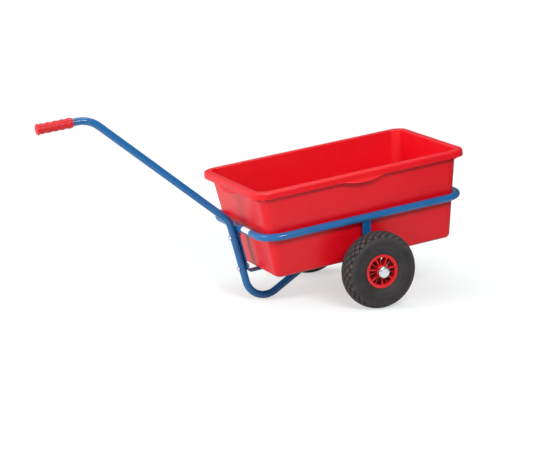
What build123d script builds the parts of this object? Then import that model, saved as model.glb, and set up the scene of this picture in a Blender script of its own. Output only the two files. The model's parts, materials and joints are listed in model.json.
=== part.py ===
"""Two-wheeled hand cart: a loose plastic tub in a welded tube-and-strap frame.

Millimetres. +X is the front, away from the handle, +Y the left and +Z up, with the floor at z = 0.
The frame is drawn square to `deck`, a plane through the axle that leans back by park_pitch, because
the cart parks on its wheels and on the foot bend of the handle tube.
"""

import os
from math import asin, cos, hypot, pi, radians, sin, sqrt, tan

from build123d import *

# ---------------------------------------------------------------- driving dimensions
park_pitch = 7.2  # degrees that the frame leans back when the cart rests on its foot

wheel_radius = 130.0
tyre_width = 80.0
tyre_seat_radius = 51.0
tyre_crown_radius = 56.0  # of the tread's section, across its middle half
sidewall_bulge = 0.8  # of the way from the flange's width to the tyre's, halfway up the sidewall
tread_depth = 3.0
tread_groove = 4.6  # width at the top
tread_row_step = 11.0  # from one row of blocks to the next, round the section
tread_rows = 3  # on each side of the middle one
tread_blocks = 28  # in a row
rim_flange_radius = 57.0
rim_width = 59.0
rim_wall = 4.0
rim_dish = 2.0  # of the barrel's end, inside the bead of the flange
rim_bead = 4.5
hub_radius = 23.0
hub_length = 75.0
hub_chamfer = 1.5
spoke_count = 7
spoke_thickness = 4.0
spoke_setback = 2.5  # behind the edge of the flange
low_spoke_setback = 12.5  # of those between them
spoke_turn = 8.3  # degrees, on the outer face
track = 544.0  # between the middles of the two tyres

axle_diameter = 25.0
journal_diameter = 20.0
running_clearance = 0.05  # radial, hub on journal
face_clearance = 0.3  # between a turning face and a fixed one
cap_diameter = 41.0
cap_height = 10.0
cap_edge = 2.5  # upright edge of the cap under its dome
cap_bore_depth = 6.0
cap_dimple_radius = 3.0
cap_dimple_depth = 1.2
cap_dimple_slant = 45

tube_diameter = 25.0
strap_width = 30.0
strap_thickness = 5.0
strap_bend_radius = 12.0  # on the middle of the strap's thickness

tub_length = 778.0  # over the rim
tub_width = 481.0
tub_height = 307.0
tub_floor_length = 652.0
tub_floor_width = 374.0
tub_wall = 4.0
tub_floor_radius = 24.0  # upright corners at the floor
tub_mouth_radius = 38.0  # upright corners at the mouth
tub_bottom_fillet = 15.0
rim_overhang = 20.5  # rim skirt outside the wall at the mouth
rim_skirt = 24.0
rim_edge_fillet = 8.0
rim_lip_fillet = 3.0
skirt_edge_fillet = 1.5
hold_width = 156.0  # of the lip that is bent out under the skirt as a hand-hold
hold_reach = 11.0
hold_drop = 11.0
hold_edge_fillet = 1.8
rib_width = 3.0
rib_height = 1.0
rib_places = (52.0, 112.0)  # each way from the middle of the long sides
gusset_thickness = 3.0
gusset_drop = 12.0  # below the skirt, at the wall
gusset_turn = 20  # degrees from the end and from the side, round the corner

ring_height = 171.0  # ring tube above the axle
ring_gap = 8.5  # between the tub wall and the ring tube
ring_corner_radius = 70.0

handle_height = 631.0  # grip above the axle
handle_slope = 45.0
leg_bend_height = 198.0  # corner of leg and handle above the axle
leg_slope = 8.8  # degrees off square to the deck
keel_slope = 27.0
handle_bend_radius = 100.0
leg_bend_radius = 70.0
foot_bend_radius = 70.0
keel_bend_radius = 70.0

grip_length = 120.0
grip_stub = 17.0  # bare straight tube between the bend and the grip
grip_radius = 16.5
grip_wave = 0.9
grip_waves = 5
grip_end_wall = 4.0
grip_flange_radius = 18.5
grip_flange_width = 6.0
grip_end_fillet = 4.0

bolt_diameter = 8.0
bolt_head_flats = 13.0
bolt_head_height = 5.3
bolt_head_slant = 60  # degrees from the bolt's line, of the turned corners
nut_height = 6.5
bolt_end = 2.0  # of the bolt, past its nut
upper_bolt_height = 142.0  # above the axle
lower_bolt_height = 30.0
keel_bolt_back = 60.0  # behind the axle
keel_bolt_head_height = 4.0
keel_bolt_head_slant = 30

# ---------------------------------------------------------------- derived
tube_radius = tube_diameter / 2
axle_radius = axle_diameter / 2
journal_radius = journal_diameter / 2
pitch = radians(park_pitch)

long_strap_z = axle_radius + strap_thickness / 2
cross_strap_z = long_strap_z + strap_thickness
tub_floor_z = cross_strap_z + strap_thickness / 2
tub_mouth_z = tub_floor_z + tub_height
tub_mouth_length = tub_length - 2 * rim_overhang
tub_mouth_width = tub_width - 2 * rim_overhang
skirt_z = tub_mouth_z - rim_skirt


def tub_size_at(z):
    """Outer length and width of the tub's wall at height z above the axle."""
    share = (z - tub_floor_z) / tub_height
    return (
        tub_floor_length + share * (tub_mouth_length - tub_floor_length),
        tub_floor_width + share * (tub_mouth_width - tub_floor_width),
    )


tub_ring_length, tub_ring_width = tub_size_at(ring_height)
ring_length = tub_ring_length + 2 * ring_gap + tube_diameter  # between middles of the tube
ring_width = tub_ring_width + 2 * ring_gap + tube_diameter

# The leg leans against the rear of the ring. Lengths run along the deck from the axle.
lean = radians(leg_slope)
leg_ring_x = -ring_length / 2 - tube_diameter / cos(lean) - face_clearance


def leg_x(z):
    """The leg's line at height z above the axle."""
    return leg_ring_x + (ring_height - z) * tan(lean)


leg_bend = (leg_x(leg_bend_height), leg_bend_height)
handle_bend = (
    leg_bend[0] - (handle_height - leg_bend_height) / tan(radians(handle_slope)),
    handle_height,
)
handle_bend_reach = handle_bend_radius * tan(radians(handle_slope) / 2)
grip_end_x = handle_bend[0] - handle_bend_reach - grip_stub - grip_length

# The foot bend touches the leg's line and the floor; the keel leaves it at keel_slope.
foot_middle_height = tube_radius + foot_bend_radius - wheel_radius  # over the axle, plumb
foot_line_x = leg_x(0) + foot_bend_radius / cos(lean)
foot_z = (foot_middle_height - foot_line_x * sin(pitch)) / (
    cos(pitch) - tan(lean) * sin(pitch)
)
foot_x = foot_line_x - foot_z * tan(lean)
rise = radians(keel_slope)
keel_low = (foot_x + foot_bend_radius * sin(rise), foot_z - foot_bend_radius * cos(rise))
foot_corner_z = (keel_low[1] + (leg_x(0) - keel_low[0]) * tan(rise)) / (1 + tan(rise) * tan(lean))
foot_bend = (leg_x(foot_corner_z), foot_corner_z)
keel_bend = (keel_low[0] - keel_low[1] / tan(rise), 0)


def parked_x(x, z):
    """Distance ahead of the axle, along the floor, of a point of the deck's frame."""
    return x * cos(pitch) - z * sin(pitch)


rear_end = parked_x(grip_end_x, handle_height + grip_flange_radius)
front_end = max(
    parked_x(ring_length / 2, ring_height) + tube_radius,
    parked_x(tub_length / 2 + hold_reach, skirt_z - hold_drop),
)
axle_x = -(rear_end + front_end) / 2  # x = 0 is midway between the ends of the cart

axle_middle = (axle_x, 0, wheel_radius)
deck = Plane(axle_middle).rotated((0, -park_pitch, 0))
side = Plane(axle_middle, x_dir=deck.x_dir, z_dir=(0, -1, 0))  # x forward, y up
across = Plane(axle_middle, x_dir=(0, 1, 0), z_dir=deck.x_dir)  # x to the left, y up
axle_line = Axis(axle_middle, (0, 1, 0))


def deck_point(x, y, z):
    """A point of the deck's frame, in the cart's own."""
    return deck.from_local_coords((x, y, z))


# ---------------------------------------------------------------- tub
rim_radius = tub_mouth_radius + rim_overhang / 2
deck_up = Axis(axle_middle, deck.z_dir)


def tub_block(inset):
    """The drafted block inside the tub's outer faces, less inset all round and at the floor."""
    low_z = tub_floor_z + inset
    low_length, low_width = tub_size_at(low_z)
    with BuildPart() as block:
        with BuildSketch(deck.offset(low_z)):
            RectangleRounded(
                low_length - 2 * inset, low_width - 2 * inset, tub_floor_radius - inset
            )
        with BuildSketch(deck.offset(tub_mouth_z)):
            RectangleRounded(
                tub_mouth_length - 2 * inset, tub_mouth_width - 2 * inset, tub_mouth_radius - inset
            )
        loft()
        fillet(block.faces().sort_by(deck_up)[0].edges(), tub_bottom_fillet - inset)
    return block.part


# Hand-holds: a flat crescent under the middle of each side of the skirt, bent out and down.
hold_depth = hypot(hold_reach, hold_drop)
hold_radius = ((hold_width / 2) ** 2 + hold_depth**2) / (2 * hold_depth)
hold_z = skirt_z + tub_wall / 2
hold_root_x = (tub_length - tub_wall) / 2
hold_root_y = (tub_width - tub_wall) / 2
hold_planes = []
for way in (1, -1):
    for middle, outward in (
        ((way * hold_root_x, 0, hold_z), deck.x_dir * way),
        ((0, way * hold_root_y, hold_z), deck.y_dir * way),
    ):
        slope = outward * hold_reach - deck.z_dir * hold_drop
        up = outward * hold_drop + deck.z_dir * hold_reach
        hold_planes.append(Plane(deck_point(*middle), x_dir=slope.cross(up), z_dir=up))
with BuildPart() as hand_holds:
    with BuildSketch(*hold_planes):
        with Locations((0, hold_depth - hold_radius)):
            Circle(hold_radius)
        with Locations((0, hold_depth / 2)):
            Rectangle(hold_width, hold_depth, mode=Mode.INTERSECT)
    extrude(amount=tub_wall / 2, both=True)
    fillet(hand_holds.edges().filter_by(GeomType.CIRCLE), hold_edge_fillet)

# Gussets: two webs at each corner of the rim, from the skirt down to the wall.
corner_x = tub_mouth_length / 2 - tub_mouth_radius
corner_y = tub_mouth_width / 2 - tub_mouth_radius
gusset_start = tub_mouth_radius - tub_wall
gusset_end = tub_mouth_radius + rim_overhang
gusset_planes = []
for way_x in (1, -1):
    for way_y in (1, -1):
        for turn in (gusset_turn, 90 - gusset_turn):
            outward = deck.x_dir * way_x * cos(radians(turn)) + deck.y_dir * way_y * sin(radians(turn))
            corner = deck_point(way_x * corner_x, way_y * corner_y, skirt_z)
            gusset_planes.append(Plane(corner, x_dir=outward, z_dir=outward.cross(deck.z_dir)))

with BuildPart() as tub:
    # rim: a flat edge with a skirt turned down around it
    with BuildSketch(deck.offset(skirt_z)):
        RectangleRounded(tub_length, tub_width, rim_radius)
    extrude(amount=rim_skirt)
    fillet(tub.faces().sort_by(deck_up)[-1].edges(), rim_edge_fillet)
    fillet(tub.faces().sort_by(deck_up)[0].edges(), skirt_edge_fillet)
    with BuildSketch(deck.offset(skirt_z)):
        RectangleRounded(tub_length - 2 * tub_wall, tub_width - 2 * tub_wall, rim_radius - tub_wall)
    extrude(amount=rim_skirt - tub_wall, mode=Mode.SUBTRACT)
    # upright ribs on the long sides of the skirt, hand-holds and gussets
    with BuildSketch(deck.offset(skirt_z + skirt_edge_fillet)):
        for place in rib_places:
            with GridLocations(2 * place, tub_width, 2, 2):
                Rectangle(rib_width, 2 * rib_height)
    extrude(amount=rim_skirt - rim_edge_fillet - skirt_edge_fillet)
    add(hand_holds.part)
    with BuildSketch(*gusset_planes):
        Polygon(
            (gusset_start, rim_skirt - tub_wall),
            (gusset_end, rim_skirt - tub_wall),
            (gusset_end, 0),
            (gusset_start, -gusset_drop),
            align=None,
        )
    extrude(amount=gusset_thickness / 2, both=True)
    # wall and floor, hollowed, with the edge of the mouth rounded
    add(tub_block(0))
    add(tub_block(tub_wall), mode=Mode.SUBTRACT)
    mouth = tub.faces().sort_by(deck_up)[-1].inner_wires()[0]
    fillet(mouth.edges(), rim_lip_fillet)

# ---------------------------------------------------------------- welded frame
half_x, half_y = ring_length / 2, ring_width / 2
with BuildPart() as ring:
    with BuildLine(deck.offset(ring_height)):
        ring_path = FilletPolyline(
            (half_x, half_y),
            (half_x, -half_y),
            (-half_x, -half_y),
            (-half_x, half_y),
            radius=ring_corner_radius,
            close=True,
        )
    with BuildSketch(Plane(ring_path @ 0, z_dir=ring_path % 0)):
        Circle(tube_radius)
    sweep()

# Cross strap: welded under both sides of the ring, down to the tub's lower edges and under it.
with BuildPart() as cross_strap:
    with BuildSketch(across.offset(-strap_width / 2)):
        with BuildLine() as cross_strap_line:
            foot_y = tub_floor_width / 2 + strap_thickness / 2
            FilletPolyline(
                (-half_y, ring_height),
                (-foot_y, cross_strap_z),
                (foot_y, cross_strap_z),
                (half_y, ring_height),
                radius=strap_bend_radius,
            )
        trace(line_width=strap_thickness)
    extrude(amount=strap_width)
    add(ring.part, mode=Mode.SUBTRACT)

# Two bolts clamp the leg to the rear arm of the long strap; each plane looks out to the bolt's head.
leg_back = deck.x_dir * -cos(lean) + deck.z_dir * -sin(lean)
leg_bolt_planes = [
    Plane(deck_point(leg_x(height), 0, height), x_dir=(0, 1, 0), z_dir=leg_back)
    for height in (upper_bolt_height, lower_bolt_height)
]
keel_bolt_plane = Plane(deck_point(-keel_bolt_back, 0, 0), x_dir=(0, 1, 0), z_dir=deck.z_dir)

# Long strap: under the cross strap, behind it up to the ring along the leg, ahead up to the ring.
strap_half = strap_thickness / 2
strap_lean_x = (tube_radius + strap_half) / cos(lean)
rear_top = (leg_x(ring_height) + strap_lean_x, ring_height)
rear_low = (leg_x(long_strap_z) + strap_lean_x, long_strap_z)
front_low = (tub_floor_length / 2 + strap_half, long_strap_z)
with BuildPart() as long_strap:
    with BuildSketch(side.offset(-strap_width / 2)):
        with BuildLine() as long_strap_line:
            FilletPolyline(
                rear_top, rear_low, front_low, (half_x, ring_height), radius=strap_bend_radius
            )
        trace(line_width=strap_thickness)
    extrude(amount=strap_width)
    add(ring.part, mode=Mode.SUBTRACT)
    for plane in leg_bolt_planes + [keel_bolt_plane]:
        with BuildSketch(plane):
            Circle(bolt_diameter / 2)
        extrude(amount=2 * tube_diameter, both=True, mode=Mode.SUBTRACT)

# Axle: a bar under the straps, turned down at both ends for the wheels.
journal_start = track / 2 - hub_length / 2 - face_clearance
journal_end = track / 2 + hub_length / 2 + face_clearance + cap_bore_depth
with BuildPart() as axle:
    with BuildSketch(across):
        with BuildLine():
            Polyline(
                (-journal_end, 0),
                (-journal_end, journal_radius),
                (-journal_start, journal_radius),
                (-journal_start, axle_radius),
                (journal_start, axle_radius),
                (journal_start, journal_radius),
                (journal_end, journal_radius),
                (journal_end, 0),
                close=True,
            )
        make_face()
    revolve(axis=axle_line)

# ---------------------------------------------------------------- handle tube
grip_end = (grip_end_x + grip_end_wall, handle_height)
with BuildPart() as handle_tube:
    with BuildLine(side) as handle_path:
        FilletPolyline(
            grip_end,
            handle_bend,
            leg_bend,
            foot_bend,
            keel_bend,
            (0, 0),
            radius=[handle_bend_radius, leg_bend_radius, foot_bend_radius, keel_bend_radius],
        )
    with BuildSketch(Plane(deck_point(grip_end[0], 0, grip_end[1]), z_dir=deck.x_dir)):
        Circle(tube_radius)
    sweep()
    add(axle.part, mode=Mode.SUBTRACT)
    for plane in leg_bolt_planes + [keel_bolt_plane]:
        with BuildSketch(plane):
            Circle(bolt_diameter / 2)
        extrude(amount=2 * tube_diameter, both=True, mode=Mode.SUBTRACT)

# Grip: pushed over the tube, closed at the end, with waves for the fingers.
wave_start = grip_end_x + grip_flange_width
wave_step = (grip_length - grip_flange_width) / grip_waves / 8
grip_profile = [
    (wave_start + i * wave_step, handle_height + grip_radius - grip_wave * cos(radians(45 * i)))
    for i in range(8 * grip_waves + 1)
]
with BuildPart() as grip:
    with BuildSketch(side):
        with BuildLine():
            crest = Spline(grip_profile)
            Polyline(
                crest @ 1,
                (grip_end_x + grip_length, handle_height + tube_radius),
                (grip_end[0], handle_height + tube_radius),
                grip_end,
                (grip_end_x, handle_height),
                (grip_end_x, handle_height + grip_flange_radius),
                (wave_start, handle_height + grip_flange_radius),
                crest @ 0,
            )
        make_face()
    revolve(axis=Axis(deck_point(grip_end_x, 0, handle_height), deck.x_dir))
    grip_ends = grip.edges().filter_by(GeomType.CIRCLE).sort_by(Axis(axle_middle, deck.x_dir))
    fillet(grip_ends[0], grip_end_fillet)

# ---------------------------------------------------------------- bolts
def hexagon(plane, height):
    """A head or nut of this height that stands on plane, its outer corners turned off at a slant."""
    with BuildPart() as head:
        with BuildSketch(plane):
            RegularPolygon(bolt_head_flats / 2, 6, major_radius=False)
        extrude(amount=height)
        with BuildSketch(plane):
            Circle(bolt_head_flats / 2 + height * tan(radians(bolt_head_slant)))
        extrude(amount=height, taper=bolt_head_slant, mode=Mode.INTERSECT)
    return head.part


with BuildPart() as leg_bolts:
    for plane in leg_bolt_planes:
        with BuildSketch(plane.offset(tube_radius)):
            Circle(bolt_diameter / 2)
        extrude(amount=-(tube_diameter + strap_thickness + nut_height + bolt_end))
        add(hexagon(plane.offset(tube_radius), bolt_head_height))
        add(hexagon(plane.offset(-tube_radius - strap_thickness - nut_height), nut_height))

with BuildPart() as keel_bolt:
    with BuildSketch(keel_bolt_plane.offset(tube_radius + strap_thickness)):
        Circle(bolt_head_flats / 2)
    extrude(amount=keel_bolt_head_height, taper=keel_bolt_head_slant)
    with BuildSketch(keel_bolt_plane.offset(tube_radius + strap_thickness)):
        Circle(bolt_diameter / 2)
    extrude(amount=-(tube_diameter + strap_thickness + nut_height + bolt_end))
    add(hexagon(keel_bolt_plane.offset(-tube_radius - nut_height), nut_height))

# ---------------------------------------------------------------- wheels
# Each wheel's section is drawn on a plane through its own middle: x outwards, y away from the axle.
wheel_middle = (axle_x, -track / 2, wheel_radius)
wheel_section = Plane(wheel_middle, x_dir=(0, -1, 0), z_dir=-deck.x_dir)
wheel_face = Plane(wheel_middle, x_dir=deck.x_dir, z_dir=(0, -1, 0))
wheel_out = Axis(wheel_middle, (0, -1, 0))
seat_half = rim_width / 2 - rim_wall
bore_radius = journal_radius + running_clearance
barrel_radius = tyre_seat_radius - rim_wall
flange_half = rim_width / 2

# The tyre's section: one arc across the tread, a tighter one round each shoulder and a sidewall.
tyre_half = tyre_width / 2
tread_half = tyre_half / 2
crown_turn = asin(tread_half / tyre_crown_radius)
crown_length = tyre_crown_radius * crown_turn
crown_middle = (0, wheel_radius - tyre_crown_radius)
shoulder_radius = (tyre_half - tread_half) / (1 - sin(crown_turn))
shoulder_length = shoulder_radius * (pi / 2 - crown_turn)
shoulder_middle = (
    tyre_half - shoulder_radius,
    crown_middle[1] + (tyre_crown_radius - shoulder_radius) * cos(crown_turn),
)
skin_length = crown_length + shoulder_length  # from the middle of the tread to the widest place
sidewall = (  # point on the sidewall's arc
    flange_half + (tyre_half - flange_half) * sidewall_bulge,
    (rim_flange_radius + shoulder_middle[1]) / 2,
)


def skin_point(length, depth):
    """The point depth under the tyre's skin at this length round its section, and the slant there."""
    if length < crown_length:
        slant = length / tyre_crown_radius
        middle, radius = crown_middle, tyre_crown_radius - depth
    else:
        slant = crown_turn + (length - crown_length) / shoulder_radius
        middle, radius = shoulder_middle, shoulder_radius - depth
    return (middle[0] + radius * sin(slant), middle[1] + radius * cos(slant)), slant


def skin_arc(start, end, depth):
    """The line depth under the tyre's skin between these lengths round its section."""
    ThreePointArc(*(skin_point(length, depth)[0] for length in (start, (start + end) / 2, end)))


# Tread: rows of flat-topped diamonds between V-grooves that cross at a slant. The grooves cross at
# nodes, half a block apart round the wheel and one row apart round the section.
edge_row = tread_rows + 1  # halves of diamonds, where the grooves run out
apron_row = edge_row + 0.3
skin_edge = (edge_row + 0.1) * tread_row_step
carcass_depth = 1.5 * tread_depth  # of the body under the tread, clear of the grooves' floors
lining_depth = 5 * tread_depth
columns = 2 * tread_blocks
floor_turn = -90 - park_pitch  # the way down to the floor, on the wheel's face
node_gap = pi * wheel_radius / tread_blocks
block_share = 1 - tread_groove * hypot(node_gap, tread_row_step) / (2 * node_gap * tread_row_step)
# how far a block's flat top lies below the skin, so that its corners don't stand out of it
block_sink = max(
    radius - sqrt(radius**2 - (block_share * reach) ** 2)
    for radius, reach in ((wheel_radius, node_gap), (tyre_crown_radius, tread_row_step))
)


def tread_plane(column, row, depth):
    """Plane at this node: x round the wheel, y across the tread to the next row, z out of the tyre."""
    (out, away), slant = skin_point(abs(row) * tread_row_step, depth)
    way = 1 if row < 0 else -1
    turn = radians(floor_turn + column * 360 / columns)
    outward = wheel_face.x_dir * cos(turn) + wheel_face.y_dir * sin(turn)
    return Plane(
        wheel_face.from_local_coords((away * cos(turn), away * sin(turn), way * out)),
        x_dir=wheel_face.x_dir * sin(turn) - wheel_face.y_dir * cos(turn),
        z_dir=outward * cos(slant) + wheel_face.z_dir * (way * sin(slant)),
    )


def groove_node(column, row):
    return tread_plane(column, row, block_sink if abs(row) == edge_row else tread_depth).origin


def tread_block(column, row):
    """Corners of the faces of one block: a flat top, and sides down to the floors of the grooves."""
    top = tread_plane(column, row, block_sink)
    away = skin_point(abs(row) * tread_row_step, block_sink)[0][1]
    tip_x = block_share * pi * away / tread_blocks
    tip_y = block_share * tread_row_step
    tips = [top.from_local_coords(tip) for tip in ((tip_x, 0), (0, tip_y), (-tip_x, 0), (0, -tip_y))]
    nodes = ((column - 1, row), (column, row + 1), (column + 1, row), (column, row - 1))
    floor = [groove_node(*node) for node in nodes]
    faces = [tips]
    for this, after in ((0, 1), (1, 2), (2, 3), (3, 0)):
        faces.append((floor[this], floor[after], tips[after]))
        faces.append((floor[this], tips[after], tips[this]))
    return faces


def half_block(column, way):
    """The same for a block at the tread's edge, where only its inner half stands free."""
    row = way * edge_row
    top = tread_plane(column, row, block_sink)
    tip = top.from_local_coords((0, -way * block_share * tread_row_step))
    floor = groove_node(column, row - way)
    before, after = groove_node(column - 1, row), groove_node(column + 1, row)
    return [
        (before, top.origin, tip),
        (top.origin, after, tip),
        (before, tip, floor),
        (after, tip, floor),
    ]


tread_faces = []
lining = [(edge_row, block_sink), (apron_row, tread_depth / 2), (apron_row, lining_depth)]
lining += [(-row, depth) for row, depth in reversed(lining)]
for column in range(columns):
    for row in range(-tread_rows, tread_rows + 1):
        if (column + row) % 2:
            tread_faces += tread_block(column, row)
    if (column + edge_row) % 2:
        tread_faces += half_block(column, 1) + half_block(column, -1)
    for row_and_depth, after in zip(lining, lining[1:]):
        near = [tread_plane(column + step, *row_and_depth).origin for step in (0, 1)]
        far = [tread_plane(column + step, *after).origin for step in (1, 0)]
        tread_faces.append(near + far)

with BuildPart() as tyre_right:
    with BuildSketch(wheel_section):
        with BuildLine():
            Polyline(
                (0, tyre_seat_radius),
                (seat_half, tyre_seat_radius),
                (seat_half, rim_flange_radius),
                (flange_half, rim_flange_radius),
            )
            ThreePointArc(
                (flange_half, rim_flange_radius), sidewall, (tyre_half, shoulder_middle[1])
            )
            skin_arc(skin_length, skin_edge, 0)
            Line(skin_point(skin_edge, 0)[0], skin_point(skin_edge, carcass_depth)[0])
            skin_arc(skin_edge, crown_length, carcass_depth)
            skin_arc(crown_length, 0, carcass_depth)
            Line((0, wheel_radius - carcass_depth), (0, tyre_seat_radius))
        make_face()
        mirror(about=Plane.YZ)
    revolve(axis=axle_line)
    add(Solid(Shell([Face(Wire.make_polygon(corners)) for corners in tread_faces])))

with BuildPart() as rim_right:
    # barrel and flanges, with a bead round the outside of each flange
    with BuildSketch(wheel_section):
        with BuildLine():
            Polyline(
                (0, barrel_radius),
                (flange_half - rim_dish, barrel_radius),
                (flange_half - rim_dish, rim_flange_radius - rim_bead),
                (flange_half, rim_flange_radius - rim_bead),
                (flange_half, rim_flange_radius),
                (seat_half, rim_flange_radius),
                (seat_half, tyre_seat_radius),
                (0, tyre_seat_radius),
                close=True,
            )
        make_face()
        mirror(about=Plane.YZ)
    revolve(axis=axle_line)
    # spokes from inside the hub to inside the barrel: on each face a low one stands between two that
    # come near the edge of the flange, and behind each low one is a full one of the other face
    spoke_length = barrel_radius - hub_radius + rim_wall
    spoke_middle = (barrel_radius + hub_radius) / 2
    for plane, turn in (
        (wheel_face, spoke_turn),
        (wheel_face.rotated((180, 0, 0)), 180 / spoke_count - spoke_turn),
    ):
        for first, setback in ((turn, spoke_setback), (turn + 180 / spoke_count, low_spoke_setback)):
            with BuildSketch(plane):
                with PolarLocations(spoke_middle, spoke_count, start_angle=first):
                    Rectangle(spoke_length, spoke_thickness)
            extrude(amount=flange_half - setback)
    with BuildSketch(wheel_face.offset(-hub_length / 2)):
        Circle(hub_radius)
    extrude(amount=hub_length)
    chamfer(rim_right.faces().sort_by(wheel_out)[-1].outer_wire().edges(), hub_chamfer)
    chamfer(rim_right.faces().sort_by(wheel_out)[0].outer_wire().edges(), hub_chamfer)
    with BuildSketch(wheel_face.offset(-hub_length / 2)):
        Circle(bore_radius)
    extrude(amount=hub_length, mode=Mode.SUBTRACT)

with BuildPart() as hub_cap_right:
    with BuildSketch(wheel_face.offset(hub_length / 2 + face_clearance)):
        Circle(cap_diameter / 2)
    extrude(amount=cap_height)
    dome_edges = hub_cap_right.faces().sort_by(wheel_out)[-1].edges()
    fillet(dome_edges, cap_height - cap_edge)
    with BuildSketch(wheel_face.offset(hub_length / 2 + face_clearance)):
        Circle(journal_radius)
    extrude(amount=cap_bore_depth, mode=Mode.SUBTRACT)
    with BuildSketch(wheel_face.offset(hub_length / 2 + face_clearance + cap_height)):
        Circle(cap_dimple_radius)
    extrude(amount=-cap_dimple_depth, taper=cap_dimple_slant, mode=Mode.SUBTRACT)

with BuildPart() as tyre_left:
    mirror(tyre_right.part, about=Plane.XZ)
with BuildPart() as rim_left:
    mirror(rim_right.part, about=Plane.XZ)
with BuildPart() as hub_cap_left:
    mirror(hub_cap_right.part, about=Plane.XZ)

# ---------------------------------------------------------------- files
pieces = {
    "tub": tub,
    "ring": ring,
    "cross_strap": cross_strap,
    "long_strap": long_strap,
    "axle": axle,
    "handle_tube": handle_tube,
    "grip": grip,
    "leg_bolts": leg_bolts,
    "keel_bolt": keel_bolt,
    "tyre_right": tyre_right,
    "tyre_left": tyre_left,
    "rim_right": rim_right,
    "rim_left": rim_left,
    "hub_cap_right": hub_cap_right,
    "hub_cap_left": hub_cap_left,
}
os.makedirs("parts", exist_ok=True)
for name, piece in pieces.items():
    piece.part.label = name
    export_step(piece.part, f"parts/{name}.step")
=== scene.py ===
"""A two-wheeled hand cart: an open plastic tub in a bent-tube frame, on two pneumatic wheels."""

import json
import math
import random

import bpy
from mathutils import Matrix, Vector


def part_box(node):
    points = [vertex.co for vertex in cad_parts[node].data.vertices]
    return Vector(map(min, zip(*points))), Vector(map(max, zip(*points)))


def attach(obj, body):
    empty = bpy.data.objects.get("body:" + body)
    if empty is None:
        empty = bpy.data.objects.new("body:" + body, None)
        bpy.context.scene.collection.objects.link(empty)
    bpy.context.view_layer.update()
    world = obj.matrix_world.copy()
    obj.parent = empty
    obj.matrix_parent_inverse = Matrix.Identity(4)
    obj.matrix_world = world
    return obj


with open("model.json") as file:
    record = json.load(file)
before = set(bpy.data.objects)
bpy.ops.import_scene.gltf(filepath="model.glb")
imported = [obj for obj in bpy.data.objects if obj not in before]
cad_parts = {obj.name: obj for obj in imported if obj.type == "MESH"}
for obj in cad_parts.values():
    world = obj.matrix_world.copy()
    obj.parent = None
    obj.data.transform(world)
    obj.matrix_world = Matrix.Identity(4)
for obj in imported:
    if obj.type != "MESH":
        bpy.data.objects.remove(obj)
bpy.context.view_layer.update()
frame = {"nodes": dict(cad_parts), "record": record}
nodes = frame["nodes"]
joints = frame["record"]["behaviour"]["joints"]
bpy.ops.object.select_all(action="DESELECT")

# ---------------------------------------------------------------- tube frame
# The ring round the tub, the two flat straps under it, and the long tube that is handle, leg and
# keel in one. Mild steel, bent and welded, then powder coated in gloss blue, which leaves a faint
# orange peel.


class Wire:
    """One output of a node; arithmetic on it adds Math nodes."""

    def __init__(self, graph, socket):
        self.graph = graph
        self.socket = socket

    def math(self, operation, *values):
        return self.graph.node(
            "ShaderNodeMath", {"operation": operation}, dict(enumerate(values))
        )

    def __add__(self, other):
        return self.math("ADD", self, other)

    __radd__ = __add__

    def __sub__(self, other):
        return self.math("SUBTRACT", self, other)

    def __rsub__(self, other):
        return self.math("SUBTRACT", other, self)

    def __mul__(self, other):
        return self.math("MULTIPLY", self, other)

    __rmul__ = __mul__

    def __truediv__(self, other):
        return self.math("DIVIDE", self, other)

    def __abs__(self):
        return self.math("ABSOLUTE", self)

    def root(self):
        return self.math("SQRT", self)

    def wave(self, step):
        """A sine that comes round once every step."""
        return self.math("SINE", self * (math.tau / step))

    def above(self, limit):
        return self.math("GREATER_THAN", self, limit)

    def between(self, low, high):
        """0 below low, 1 above high, and a smooth step from one to the other."""
        return self.graph.node(
            "ShaderNodeMapRange",
            {"interpolation_type": "SMOOTHSTEP"},
            {"Value": self, "From Min": low, "From Max": high},
        )

    def near(self, middle, reach):
        """1 at middle, and smoothly down to 0 at reach on either side of it."""
        return 1 - abs(self - middle).between(0.0, reach)

    def axes(self):
        parts = self.graph.node("ShaderNodeSeparateXYZ", inputs={0: self}).socket.node
        return [Wire(self.graph, output) for output in parts.outputs]


class Graph:
    """A node tree, to which node() adds any node."""

    def __init__(self, tree):
        self.tree = tree

    def node(self, kind, settings=None, inputs=None, output=0):
        made = self.tree.nodes.new(kind)
        for word, value in (settings or {}).items():
            setattr(made, word, value)
        for place, value in (inputs or {}).items():
            self.join(value, made.inputs[place])
        return Wire(self, made.outputs[output])

    def join(self, value, socket):
        if isinstance(value, Wire):
            self.tree.links.new(value.socket, socket)
        else:
            socket.default_value = value


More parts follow.
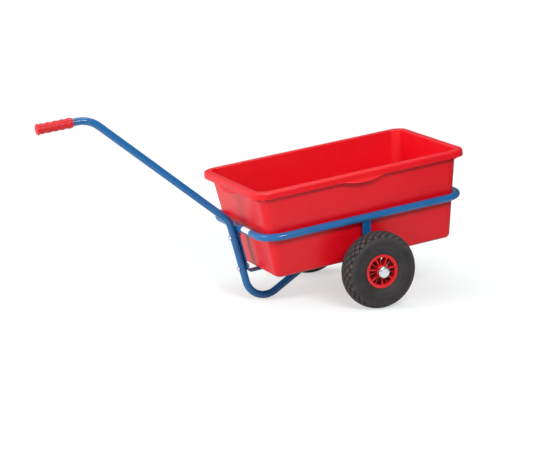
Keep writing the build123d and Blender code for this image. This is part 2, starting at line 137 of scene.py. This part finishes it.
class Finish(Graph):
    """A material with one Principled shader."""

    def __init__(self, name, plain):
        self.material = bpy.data.materials.new(name)
        self.material.use_nodes = True
        super().__init__(self.material.node_tree)
        self.shader = self.tree.nodes["Principled BSDF"]
        for socket, value in plain.items():
            self.feed(socket, value)

    def feed(self, socket, value):
        self.join(value, self.shader.inputs[socket])

    def place(self, middle=(0.0, 0.0, 0.0), turned=(0.0, 0.0, 0.0)):
        """Object coordinates, measured from middle along axes that are turned by these angles."""
        return self.node(
            "ShaderNodeMapping",
            {"vector_type": "TEXTURE"},
            {
                "Vector": self.node("ShaderNodeTexCoord", output="Object"),
                "Location": middle,
                "Rotation": turned,
            },
        )

    def noise(self, scale, detail=2.0):
        return self.node(
            "ShaderNodeTexNoise",
            inputs={"Vector": self.place(), "Scale": scale, "Detail": detail},
        )

    def patches(self, scale, detail, start, full):
        """Noise as patches, which fade in from its value start to its value full."""
        return self.noise(scale, detail).between(start, full)

    def blend(self, share, first, second):
        """The colour first where share is 0 and second where it is 1."""
        # A Mix node repeats its sockets for each kind of data: 6, 7 and output 2 are the colours.
        return self.node(
            "ShaderNodeMix",
            {"data_type": "RGBA"},
            {"Factor": share, 6: first, 7: second},
            output=2,
        )

    def roughen(self, least, spread, pattern):
        self.feed("Roughness", least + spread * pattern)

    def relief(self, height, depth, strength):
        """Shows height as a relief that is depth metres deep, at this share of full strength."""
        bump = self.node(
            "ShaderNodeBump",
            inputs={"Height": height, "Distance": depth, "Strength": strength},
        )
        self.feed("Normal", bump)

    def coat(self, *names):
        """Gives the CAD nodes of these names this finish."""
        for name in names:
            for slot in nodes[name].material_slots:
                slot.material = self.material


BLUE = (0.005, 0.128, 0.362, 1.0)
BLUE_DEEP = (0.003, 0.109, 0.316, 1.0)

powder_coat = Finish(
    "powder_coat",
    {"Coat Weight": 0.6, "Coat Roughness": 0.03, "Specular IOR Level": 0.25},
)
cloud = powder_coat.patches(scale=9.0, detail=3.0, start=0.35, full=0.75)
powder_coat.feed("Base Color", powder_coat.blend(cloud, BLUE, BLUE_DEEP))
powder_coat.roughen(least=0.30, spread=0.12, pattern=powder_coat.noise(scale=35.0))
orange_peel = powder_coat.noise(scale=380.0, detail=1.0)
powder_coat.relief(orange_peel, depth=0.00001, strength=0.15)
powder_coat.coat("ring", "cross_strap", "long_strap", "handle_tube")

# ---------------------------------------------------------------- welds
# Beads of weld where the straps meet the ring, the axle and each other, and where the long tube's
# coped lower end meets the axle. Each is a row of overlapping drops, under the same powder coat.
LEAN_BACK = math.radians(7.2)
TUBE_RADIUS = 0.0125
STRAP_HALF_WIDTH = 0.015
STRAP_THICKNESS = 0.005
BEAD_RADIUS = 0.0026
BEAD_ROUNDNESS = 2
BEAD_LIFT = BEAD_RADIUS / 3
CORNER_BEAD_LIFT = 0.3 * BEAD_RADIUS
AXLE_BEAD_OUT = 2.6 * BEAD_RADIUS
AXLE_BEAD_DROP = 0.7 * BEAD_RADIUS
STOP_STEP = 0.0006
STOPS_PER_DROP = 4
DROP_SWELL = 1.08
DROP_WAIST = 0.92
DROP_UNEVENNESS = 0.04
MERGE_REACH = 0.00001
TOUCH = 0.0002
SADDLE_START = math.radians(32.0)
SADDLE_STEPS = 125

axle_middle = (Vector(joints[0]["pos_m"]) + Vector(joints[1]["pos_m"])) / 2
forward = Vector((math.cos(LEAN_BACK), 0.0, math.sin(LEAN_BACK)))
sideways = Vector((0.0, 1.0, 0.0))
upward = Vector((-math.sin(LEAN_BACK), 0.0, math.cos(LEAN_BACK)))
luck = random.Random(5)


def lay_bead(name, stops):
    """Lays a round bead along these stops, which swells and narrows with every drop."""
    path = bpy.data.curves.new(name, "CURVE")
    path.dimensions = "3D"
    path.bevel_depth = BEAD_RADIUS
    path.bevel_resolution = BEAD_ROUNDNESS
    path.use_fill_caps = True
    run = path.splines.new("POLY")
    run.points.add(len(stops) - 1)
    for number, (point, stop) in enumerate(zip(run.points, stops)):
        point.co = (*stop, 1.0)
        swollen = number % STOPS_PER_DROP < STOPS_PER_DROP / 2
        uneven = luck.uniform(1 - DROP_UNEVENNESS, 1 + DROP_UNEVENNESS)
        point.radius = uneven * (DROP_SWELL if swollen else DROP_WAIST)
    bead = bpy.data.objects.new(name, path)
    bpy.context.collection.objects.link(bead)
    bpy.context.view_layer.objects.active = bead
    bead.select_set(True)
    bpy.ops.object.convert(target="MESH")
    bead = bpy.context.object
    bpy.ops.object.mode_set(mode="EDIT")
    bpy.ops.mesh.select_all(action="SELECT")
    bpy.ops.mesh.remove_doubles(threshold=MERGE_REACH)
    bpy.ops.mesh.normals_make_consistent(inside=False)
    bpy.ops.object.mode_set(mode="OBJECT")
    bpy.ops.object.shade_smooth()
    bead.data.materials.clear()
    bead.data.materials.append(powder_coat.material)
    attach(bead, "cart")
    bpy.ops.object.select_all(action="DESELECT")


def straight(start, end):
    """Stops from start to end, about STOP_STEP apart."""
    steps = max(2, round((end - start).length / STOP_STEP))
    return [start.lerp(end, step / steps) for step in range(steps + 1)]


def seam(node, middle, along, side):
    """Stops along the edge where a strap meets a tube, on the strap's face to this side.

    The tube runs through middle, in the direction along.
    """
    touching = []
    for vertex in nodes[node].data.vertices:
        away = vertex.co - middle
        if abs((away - along * away.dot(along)).length - TUBE_RADIUS) < TOUCH:
            touching.append(vertex.co.copy())
    furthest = max(point.dot(side) for point in touching)
    edge = [point for point in touching if point.dot(side) > furthest - TOUCH]
    inset = along * BEAD_RADIUS
    ends = min(edge, key=along.dot) + inset, max(edge, key=along.dot) - inset
    return straight(*(end + side * BEAD_LIFT for end in ends))


ring_low, ring_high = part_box("ring")
ring_side = sideways * ((ring_high.y - ring_low.y) / 2 - TUBE_RADIUS)
ring_rear = Vector((ring_low.x + TUBE_RADIUS, 0.0, ring_low.z + TUBE_RADIUS))
ring_front = Vector((ring_high.x - TUBE_RADIUS, 0.0, ring_high.z - TUBE_RADIUS))
ring_middle = (ring_rear + ring_front) / 2
for name, node, middle, along, out in (
    ("weld_ring_right", "cross_strap", ring_middle - ring_side, forward, -sideways),
    ("weld_ring_left", "cross_strap", ring_middle + ring_side, forward, sideways),
    ("weld_ring_rear", "long_strap", ring_rear, sideways, -forward),
    ("weld_ring_front", "long_strap", ring_front, sideways, forward),
):
    lay_bead(name + "_outside", seam(node, middle, along, out))
    lay_bead(name + "_inside", seam(node, middle, along, -out))

strap_under = axle_middle + upward * TUBE_RADIUS
for name, side in (("weld_axle_rear", -1), ("weld_axle_front", 1)):
    corner = strap_under + forward * (side * AXLE_BEAD_OUT) - upward * AXLE_BEAD_DROP
    reach = sideways * (STRAP_HALF_WIDTH - BEAD_RADIUS)
    lay_bead(name, straight(corner - reach, corner + reach))
for name, side in (("weld_straps_right", -1), ("weld_straps_left", 1)):
    corner = strap_under + upward * (STRAP_THICKNESS - CORNER_BEAD_LIFT)
    corner += sideways * (side * (STRAP_HALF_WIDTH + CORNER_BEAD_LIFT))
    reach = forward * (STRAP_HALF_WIDTH - BEAD_RADIUS)
    lay_bead(name, straight(corner - reach, corner + reach))

saddle = []
for step in range(SADDLE_STEPS + 1):
    turn = SADDLE_START + step / SADDLE_STEPS * (math.tau - 2 * SADDLE_START)
    round_tube = sideways * math.sin(turn) + upward * math.cos(turn)
    round_axle = upward * math.cos(turn) - forward * abs(math.sin(turn))
    edge = sideways * math.sin(turn) + round_axle
    out = (round_tube + round_axle).normalized()
    saddle.append(axle_middle + edge * TUBE_RADIUS + out * BEAD_LIFT)
lay_bead("weld_keel", saddle)

# ---------------------------------------------------------------- sticker
# A small blank label of white vinyl film with a glossy face. It is stuck round the rear of the
# ring, beside the leg.
STICKER_START = -0.110
STICKER_LENGTH = 0.060
STICKER_MIDDLE_TURN = math.radians(36.0)
STICKER_HALF_TURN = math.radians(45.0)
STICKER_STANDS_OUT = 0.00015
STICKER_SIDES = 96
QUARTER_TURN = math.radians(90.0)
SHARP_EDGE = math.radians(30.0)
VINYL = (0.86, 0.87, 0.88, 1.0)
VINYL_GREY = (0.80, 0.81, 0.83, 1.0)

bpy.ops.mesh.primitive_cylinder_add(
    vertices=STICKER_SIDES,
    radius=TUBE_RADIUS + STICKER_STANDS_OUT,
    depth=STICKER_LENGTH,
    end_fill_type="NOTHING",
    location=(ring_rear.x, STICKER_START + STICKER_LENGTH / 2, ring_rear.z),
    rotation=(QUARTER_TURN, 0.0, 0.0),
)
sticker = bpy.context.object
sticker.name = "sticker"
bpy.ops.object.transform_apply(location=True, rotation=True, scale=True)
bpy.ops.object.mode_set(mode="EDIT")
bpy.ops.mesh.select_mode(type="FACE")
bpy.ops.mesh.select_all(action="DESELECT")
bpy.ops.object.mode_set(mode="OBJECT")
for face in sticker.data.polygons:
    away = face.center - ring_rear
    face.select = abs(math.atan2(away.z, -away.x) - STICKER_MIDDLE_TURN) > STICKER_HALF_TURN
bpy.ops.object.mode_set(mode="EDIT")
bpy.ops.mesh.delete(type="FACE")
bpy.ops.object.mode_set(mode="OBJECT")
thickness = sticker.modifiers.new("thickness", "SOLIDIFY")
thickness.thickness = STICKER_STANDS_OUT
thickness.offset = 1.0
bpy.ops.object.modifier_apply(modifier="thickness")
bpy.ops.object.shade_smooth_by_angle(angle=SHARP_EDGE)

vinyl = Finish("vinyl", {})
vinyl.feed("Base Color", vinyl.blend(vinyl.noise(scale=120.0), VINYL, VINYL_GREY))
vinyl.roughen(least=0.26, spread=0.10, pattern=vinyl.noise(scale=60.0))
sticker.data.materials.clear()
sticker.data.materials.append(vinyl.material)
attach(sticker, "cart")
bpy.ops.object.select_all(action="DESELECT")

# ---------------------------------------------------------------- axle and fasteners
# A turned steel axle under the straps, and the bolts that clamp the leg and the keel to the long
# strap. All are bright zinc plated.
ZINC = (0.72, 0.74, 0.76, 1.0)
ZINC_DULL = (0.58, 0.60, 0.63, 1.0)

zinc_plate = Finish("zinc_plate", {"Metallic": 1.0})
spangle = zinc_plate.noise(scale=60.0, detail=4.0)
dull = spangle.between(0.3, 0.7)
zinc_plate.feed("Base Color", zinc_plate.blend(dull, ZINC, ZINC_DULL))
zinc_plate.roughen(least=0.22, spread=0.14, pattern=spangle)
zinc_plate.coat("axle", "leg_bolts", "keel_bolt")

# ---------------------------------------------------------------- tub
# An open tub, moulded in one piece of red polyethylene, with a rim turned down all round. It rests
# in the ring and on the straps. The skin is satin, with a very fine grain, and sinks a little over
# each rib of the rim.
TUB_RED = (0.74, 0.0022, 0.0100, 1.0)
TUB_RED_DEEP = (0.69, 0.0018, 0.0095, 1.0)
RIB_PLACES = (0.052, 0.112, 0.190, 0.257)
SINK_REACH = 0.006
SINK_HEIGHTS = (0.250, 0.275)
GRAIN_SHARE = 0.12

tub_skin = Finish("tub_skin", {"Specular IOR Level": 0.42})
flow = tub_skin.patches(scale=3.0, detail=3.0, start=0.35, full=0.7)
tub_skin.feed("Base Color", tub_skin.blend(flow, TUB_RED, TUB_RED_DEEP))
tub_skin.roughen(least=0.27, spread=0.12, pattern=tub_skin.noise(scale=14.0))
along, _, height = tub_skin.place(axle_middle, (0.0, -LEAN_BACK, 0.0)).axes()
from_middle = abs(along)
sinks = sum(from_middle.near(place, SINK_REACH) for place in RIB_PLACES)
sinks = sinks * height.between(*SINK_HEIGHTS)
grain = GRAIN_SHARE * tub_skin.noise(scale=900.0, detail=1.0)
tub_skin.relief(grain - sinks, depth=0.0005, strength=0.5)
tub_skin.coat("tub")

# ---------------------------------------------------------------- grip
# A sleeve of soft red plastic with ribs for the fingers, moulded in one piece and pushed on the
# upper end of the handle. Its skin is satin, a little rougher than the tub's.
GRIP_RED = (0.66, 0.007, 0.013, 1.0)
GRIP_RED_DEEP = (0.60, 0.005, 0.011, 1.0)
GRIP_RIB_STEP = 0.0057
GRIP_GRAIN_SHARE = 0.1

grip_skin = Finish("grip_skin", {"Specular IOR Level": 0.42})
grip_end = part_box("grip")[0]
flow = grip_skin.noise(scale=30.0)
grip_skin.feed("Base Color", grip_skin.blend(flow, GRIP_RED, GRIP_RED_DEEP))
grip_skin.roughen(least=0.38, spread=0.1, pattern=grip_skin.noise(scale=90.0))
along = grip_skin.place(grip_end, (0.0, -LEAN_BACK, 0.0)).axes()[0]
grain = GRIP_GRAIN_SHARE * grip_skin.noise(scale=1200.0, detail=1.0)
grip_skin.relief(along.wave(GRIP_RIB_STEP) + grain, depth=0.00025, strength=0.30)
grip_skin.coat("grip")

# ---------------------------------------------------------------- tyres
# Pneumatic tyres, moulded in black rubber and stretched over the rims. Dust dries brown on the tops
# of the tread blocks and not in the grooves. Fine lines run round the sidewalls, and a groove runs
# beside the rim. The grooves, the lines and the groove by the rim get painted shade, near black.
RUBBER = (0.0205, 0.0170, 0.0185, 1.0)
RUBBER_GREY = (0.0370, 0.0315, 0.0325, 1.0)
RUBBER_PAINTED_SHADE = (0.004, 0.0038, 0.004, 1.0)
DUST = (0.078, 0.066, 0.063, 1.0)
CROWN_RADIUS = 0.056
SHOULDER_RADIUS = 0.0312
CROWN_SHARE = 0.5
TREAD_REACH = (0.105, 0.111)
TOP_DEPTHS = (0.0002, 0.00135)
GROOVE_DEPTHS = (0.0009, 0.0024)
SIDEWALL_LINES = (0.0965, 0.0905, 0.0760)
LINE_REACH = 0.0018
RIM_GROOVE = 0.0585
RIM_GROOVE_REACH = 0.0022
TOPS_DUST = 0.40
TOPS_DUST_PATCHES = 0.45
GROOVE_SHADE_SHARE = 0.85
RIM_GROOVE_SHADE_SHARE = 0.9
LINE_SHADE_SHARE = 0.6
TOPS_ROUGHER = 1.25
RUBBER_GRAIN_SHARE = 0.25
RIM_GROOVE_DEEPER = 3

for name, tyre, joint in (
    ("rubber_right", "tyre_right", joints[0]),
    ("rubber_left", "tyre_left", joints[1]),
):
    rubber = Finish(name, {"Specular IOR Level": 0.4})
    low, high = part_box(tyre)
    tyre_radius = (high.z - low.z) / 2
    crown_half = (high.y - low.y) / 2 * CROWN_SHARE
    crown_turn = math.asin(crown_half / CROWN_RADIUS)
    crown_middle = tyre_radius - CROWN_RADIUS
    to_shoulder = CROWN_RADIUS - SHOULDER_RADIUS
    shoulder_out = to_shoulder * math.sin(crown_turn)
    shoulder_middle = crown_middle + to_shoulder * math.cos(crown_turn)
    x, y, z = rubber.place(joint["pos_m"]).axes()
    out = abs(y)
    away = (x * x + z * z).root()
    past_crown = away - crown_middle
    crown = CROWN_RADIUS - (out * out + past_crown * past_crown).root()
    past_out = out - shoulder_out
    past_away = away - shoulder_middle
    shoulder = SHOULDER_RADIUS - (past_out * past_out + past_away * past_away).root()
    beyond_crown = past_out * math.cos(crown_turn) - past_away * math.sin(crown_turn)
    depth = crown + beyond_crown.above(0.0) * (shoulder - crown)
    tread = away.between(*TREAD_REACH)
    tops = tread * (1 - depth.between(*TOP_DEPTHS))
    grooves = tread * depth.between(*GROOVE_DEPTHS)
    dust = rubber.patches(scale=55.0, detail=4.0, start=0.42, full=0.72)
    smear = rubber.patches(scale=18.0, detail=3.0, start=0.35, full=0.75)
    rim_groove = away.near(RIM_GROOVE, RIM_GROOVE_REACH)
    lines = sum(away.near(line, LINE_REACH) for line in SIDEWALL_LINES)
    colour = rubber.blend(smear, RUBBER, RUBBER_GREY)
    colour = rubber.blend(tops * (TOPS_DUST + TOPS_DUST_PATCHES * dust), colour, DUST)
    # Painted shade: the tread grooves, the groove beside the rim and the sidewall lines go near
    # black.
    colour = rubber.blend(GROOVE_SHADE_SHARE * grooves, colour, RUBBER_PAINTED_SHADE)
    colour = rubber.blend(RIM_GROOVE_SHADE_SHARE * rim_groove, colour, RUBBER_PAINTED_SHADE)
    colour = rubber.blend(LINE_SHADE_SHARE * lines, colour, RUBBER_PAINTED_SHADE)
    rubber.feed("Base Color", colour)
    rubber.roughen(least=0.52, spread=0.16, pattern=smear + TOPS_ROUGHER * tops)
    grain = RUBBER_GRAIN_SHARE * rubber.noise(scale=700.0, detail=2.0)
    height = lines + grain - RIM_GROOVE_DEEPER * rim_groove
    rubber.relief(height, depth=0.0004, strength=0.6)
    rubber.coat(tyre)

# ---------------------------------------------------------------- rims and hub caps
# Spoked rims moulded in red plastic, with painted shade in the pockets between the spokes, and a
# domed zinc cap pushed on the axle's end outside each hub. The caps are pressed from sheet, which
# leaves fine rings round the middle.
RIM_RED = (0.76, 0.010, 0.014, 1.0)
RIM_RED_DEEP = (0.66, 0.006, 0.010, 1.0)
RIM_POCKET_SHADE = (0.260, 0.008, 0.010, 1.0)
HUB_STANDS_OUT = 0.008
POCKET_DEPTHS = (0.003, 0.016)
POCKET_ENDS = (0.0475, 0.0490)
POCKET_SHADE_SHARE = 0.75
POCKETS_ROUGHER = 5 / 3
CAP_ZINC = (0.80, 0.82, 0.85, 1.0)
CAP_DULL = (0.66, 0.69, 0.74, 1.0)
CAP_RING_STEP = 0.0011

for rim, joint in (("rim_right", joints[0]), ("rim_left", joints[1])):
    low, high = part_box(rim)
    flange_half = (high.y - low.y) / 2 - HUB_STANDS_OUT
    rim_plastic = Finish("plastic_of_" + rim, {"Specular IOR Level": 0.45})
    flow = rim_plastic.patches(scale=20.0, detail=2.0, start=0.35, full=0.7)
    x, y, z = rim_plastic.place(joint["pos_m"]).axes()
    depth = flange_half - abs(y)
    away = (x * x + z * z).root()
    pockets = depth.between(*POCKET_DEPTHS) * (1 - away.between(*POCKET_ENDS))
    colour = rim_plastic.blend(flow, RIM_RED, RIM_RED_DEEP)
    # Painted shade: the pockets between the spokes are painted darker the deeper they go.
    colour = rim_plastic.blend(POCKET_SHADE_SHARE * pockets, colour, RIM_POCKET_SHADE)
    rim_plastic.feed("Base Color", colour)
    scuffs = rim_plastic.noise(scale=45.0) + POCKETS_ROUGHER * pockets
    rim_plastic.roughen(least=0.24, spread=0.12, pattern=scuffs)
    grain = rim_plastic.noise(scale=500.0, detail=1.0)
    rim_plastic.relief(grain, depth=0.00006, strength=0.2)
    rim_plastic.coat(rim)

cap_zinc = Finish("cap_zinc", {"Metallic": 1.0})
x, y, z = cap_zinc.place(axle_middle).axes()
away = (x * x + z * z).root()
haze = cap_zinc.noise(scale=140.0, detail=3.0)
dull = haze.between(0.35, 0.7)
cap_zinc.feed("Base Color", cap_zinc.blend(dull, CAP_ZINC, CAP_DULL))
cap_zinc.roughen(least=0.16, spread=0.06, pattern=haze)
cap_zinc.relief(away.wave(CAP_RING_STEP), depth=0.000003, strength=0.1)
cap_zinc.coat("hub_cap_right", "hub_cap_left")

# ---------------------------------------------------------------- studio
# A white floor, seen through a long lens from the cart's right, a little behind it and above. The
# walls are bright behind the cart, on the camera's left, and dim elsewhere. The left strip shows
# only in gloss, the left panel only lights what is matt, and the floor is clear from below.
LENS_MM = 141.56
AZIMUTH = math.radians(-23.924)
ELEVATION = math.radians(12.5275)
DISTANCE = 7.0311
SIGHT = 100.0
AIM_BEHIND_AXLE = 0.28341
AIM_HEIGHT = 0.22381
PAPER = (0.515, 0.56, 0.555, 1.0)
PAPER_OUTER = (0.19, 0.20, 0.20, 1.0)
FLOOR_RADIUS = 2.4
FLOOR_SIDES = 160
FLOOR_OUTER = (1.1, 1.9)
FLOOR_SEEN = 0.54
NEAR_MIRRORED = 0.30
OUTER_MIRRORED = 0.50
BRIGHT_SIDE = math.radians(-105.0)
BRIGHT_REACH = (-0.4, 0.9)
DARK_WALL = 0.28
DARK_WALL_DIMMER = 0.12
DARK_WALL_DIMS = (0.0, 0.25)
BRIGHT_WALL = 0.86
CEILING_REACH = (0.4, 0.9)
DARK_CEILING_BRIGHTER = 0.20
BRIGHT_CEILING_DIMMER = 0.40
LAMPS_AIM = Vector((0.0, 0.0, 0.25))


def towards_bright(x, y):
    """How far a place, or a direction, lies towards the bright side."""
    return x * math.sin(BRIGHT_SIDE) - y * math.cos(BRIGHT_SIDE)


bpy.ops.mesh.primitive_circle_add(
    vertices=FLOOR_SIDES, radius=FLOOR_RADIUS, fill_type="NGON"
)
floor = bpy.context.object
floor.name = "floor"
paper = Finish("paper", {"Roughness": 1.0, "Specular IOR Level": 0.0})
floor.data.materials.append(paper.material)
x, y, z = paper.place().axes()
from_middle = (x * x + y * y).root()
outer = from_middle.between(*FLOOR_OUTER)
paper.feed("Base Color", paper.blend(outer, PAPER, PAPER_OUTER))
bright = (towards_bright(x, y) / from_middle).between(*BRIGHT_REACH)
is_camera = paper.node("ShaderNodeLightPath", output="Is Camera Ray")
is_glossy = paper.node("ShaderNodeLightPath", output="Is Glossy Ray")
seen = FLOOR_SEEN + (1 - FLOOR_SEEN) * outer
mirrored = NEAR_MIRRORED + outer * (OUTER_MIRRORED * bright - NEAR_MIRRORED)
glow = is_camera * seen + is_glossy * mirrored
shine = paper.node("ShaderNodeEmission", inputs={"Color": glow})
lit = Wire(paper, paper.shader.outputs[0])
both = paper.node("ShaderNodeAddShader", inputs={0: lit, 1: shine})
from_below = paper.node("ShaderNodeNewGeometry", output="Backfacing")
clear = paper.node("ShaderNodeBsdfTransparent")
one_way = paper.node("ShaderNodeMixShader", inputs={0: from_below, 1: both, 2: clear})
paper.join(one_way, paper.tree.nodes["Material Output"].inputs["Surface"])

world = bpy.data.worlds.new("surround")
bpy.context.scene.world = world
world.use_nodes = True
sky = Graph(world.node_tree)
x, y, z = sky.node("ShaderNodeTexCoord", output="Generated").axes()
bright = towards_bright(x, y).between(*BRIGHT_REACH)
ceiling = z.between(*CEILING_REACH)
dark_wall = DARK_WALL - DARK_WALL_DIMMER * z.between(*DARK_WALL_DIMS)
dark_wall = dark_wall + DARK_CEILING_BRIGHTER * ceiling
bright_wall = BRIGHT_WALL - BRIGHT_CEILING_DIMMER * ceiling
room = dark_wall + bright * (bright_wall - dark_wall)
is_camera = sky.node("ShaderNodeLightPath", output="Is Camera Ray")
background = world.node_tree.nodes["Background"]
sky.join(room + is_camera * (1 - room), background.inputs["Color"])

for name, place, size, watts, lights, shines in (
    ("front_softbox", (0.0, -2.6, 2.0), (1.5, 0.7), 62.0, True, True),
    ("top_softbox", (0.2, 0.4, 3.1), (2.2, 1.8), 34.0, True, True),
    ("left_strip", (-2.1, 0.25, 2.4), (0.9, 0.35), 38.0, False, True),
    ("left_panel", (-2.5, 0.3, 0.75), (1.3, 1.0), 44.0, True, False),
):
    lamp = bpy.data.lights.new(name, "AREA")
    lamp.shape = "RECTANGLE"
    lamp.size, lamp.size_y = size
    lamp.energy = watts
    holder = bpy.data.objects.new(name, lamp)
    bpy.context.collection.objects.link(holder)
    holder.location = place
    holder.visible_diffuse = lights
    holder.visible_glossy = shines
    towards = LAMPS_AIM - Vector(place)
    holder.rotation_euler = towards.to_track_quat("-Z", "Y").to_euler()

aim = Vector((axle_middle.x - AIM_BEHIND_AXLE, 0.0, AIM_HEIGHT))
back = Vector(
    (
        math.sin(AZIMUTH) * math.cos(ELEVATION),
        -math.cos(AZIMUTH) * math.cos(ELEVATION),
        math.sin(ELEVATION),
    )
)
camera = bpy.data.objects.new("camera", bpy.data.cameras.new("camera"))
bpy.context.collection.objects.link(camera)
camera.data.lens = LENS_MM
camera.data.clip_end = SIGHT
camera.location = aim + back * DISTANCE
camera.rotation_euler = (-back).to_track_quat("-Z", "Y").to_euler()
bpy.context.scene.camera = camera
bpy.context.scene.view_settings.view_transform = "Standard"
